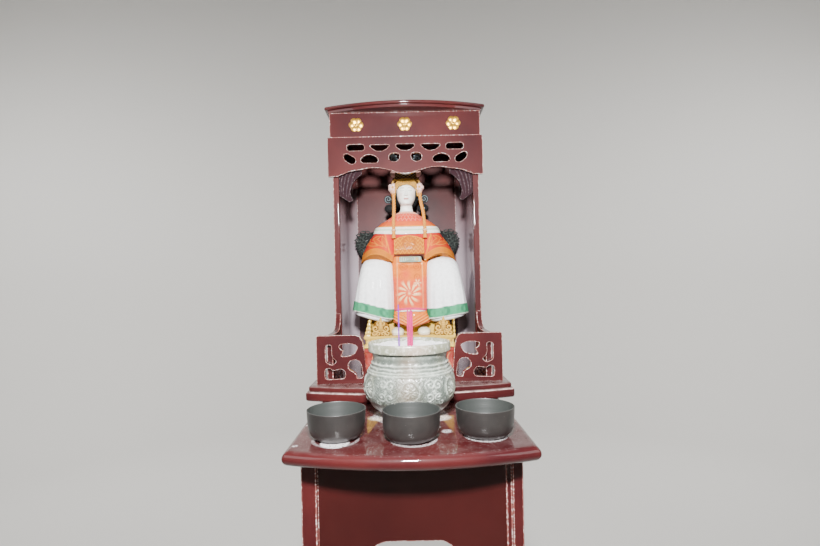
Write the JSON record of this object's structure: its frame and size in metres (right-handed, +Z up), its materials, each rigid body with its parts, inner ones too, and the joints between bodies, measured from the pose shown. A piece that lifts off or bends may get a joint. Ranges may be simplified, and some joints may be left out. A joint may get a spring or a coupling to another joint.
{
  "type": "lacquered deck shrine of a wooden junk",
  "caption": "Lacquered altar table with a fretted niche, a seated glazed figure, a carved stone incense burner and bowls.",
  "frame": {"origin": "on the floor, under the middle of the whole", "axes": "+Z up, the front faces -Y, +X to the right of someone who faces the shrine"},
  "size_m": [0.486, 0.834, 1.83],
  "materials": {
    "lacquer": "dark red gloss lacquer, worn at the edges",
    "gilt": "gold leaf over carving",
    "stone": "carved grey-green stone",
    "ash": "loose incense ash",
    "incense": "dyed bamboo",
    "bowl_clay": "dark unglazed clay",
    "orange_glaze": "gloss",
    "red_glaze": "gloss",
    "white_glaze": "gloss",
    "cream_glaze": "gloss",
    "black_glaze": "gloss",
    "jade_glaze": "gloss"
  },
  "bodies": {
    "shrine": {"table_top": "lacquer", "table_leg_front_left": "lacquer", "table_leg_front_right": "lacquer", "table_leg_back_left": "lacquer", "table_leg_back_right": "lacquer", "front_apron": "lacquer", "back_apron": "lacquer", "left_apron": "lacquer", "right_apron": "lacquer", "left_stretcher": "lacquer", "right_stretcher": "lacquer", "cross_stretcher": "lacquer", "niche_slab": "lacquer", "left_guard_panel": "lacquer", "right_guard_panel": "lacquer", "left_side_rail": "lacquer", "right_side_rail": "lacquer", "left_niche_wall": "lacquer", "right_niche_wall": "lacquer", "back_panel": "lacquer", "ceiling_board": "lacquer", "left_corner_bracket": "lacquer", "right_corner_bracket": "lacquer", "fret_valance": "lacquer", "frieze_board": "lacquer", "left_frieze_flower": "gilt", "middle_frieze_flower": "gilt", "right_frieze_flower": "gilt", "cornice": "lacquer", "figure_plinth": "red_glaze", "throne_seat": "cream_glaze", "throne_back": "black_glaze", "left_scroll_arm": "gilt", "right_scroll_arm": "gilt", "lower_robe": "orange_glaze", "left_sleeve": "white_glaze", "right_sleeve": "white_glaze", "upper_robe": "red_glaze", "cape_collar": "orange_glaze", "head": "white_glaze", "hair": "black_glaze", "crown": "gilt", "left_shoe": "cream_glaze", "right_shoe": "cream_glaze", "left_ear_scroll": "white_glaze", "right_ear_scroll": "white_glaze", "left_tassel": "gilt", "right_tassel": "gilt", "belt_plaque": "jade_glaze"},
    "burner": {"burner_bowl": "stone", "burner_ash": "ash", "incense_stub_1": "incense", "incense_stub_2": "incense", "incense_stub_3": "incense", "incense_stub_4": "incense", "incense_stub_5": "incense"},
    "bowl_left": {"left_bowl": "bowl_clay"},
    "bowl_middle": {"middle_bowl": "bowl_clay"},
    "bowl_right": {"right_bowl": "bowl_clay"}
  },
  "joints": [
    {"name": "burner_lift", "type": "slide", "parent": "shrine", "child": "burner", "axis": [0, 0, 1], "range_m": [0, 0.16]},
    {"name": "left_bowl_lift", "type": "slide", "parent": "shrine", "child": "bowl_left", "axis": [0, 0, 1], "range_m": [0, 0.12]},
    {"name": "middle_bowl_lift", "type": "slide", "parent": "shrine", "child": "bowl_middle", "axis": [0, 0, 1], "range_m": [0, 0.12]},
    {"name": "right_bowl_lift", "type": "slide", "parent": "shrine", "child": "bowl_right", "axis": [0, 0, 1], "range_m": [0, 0.12]}
  ]
}
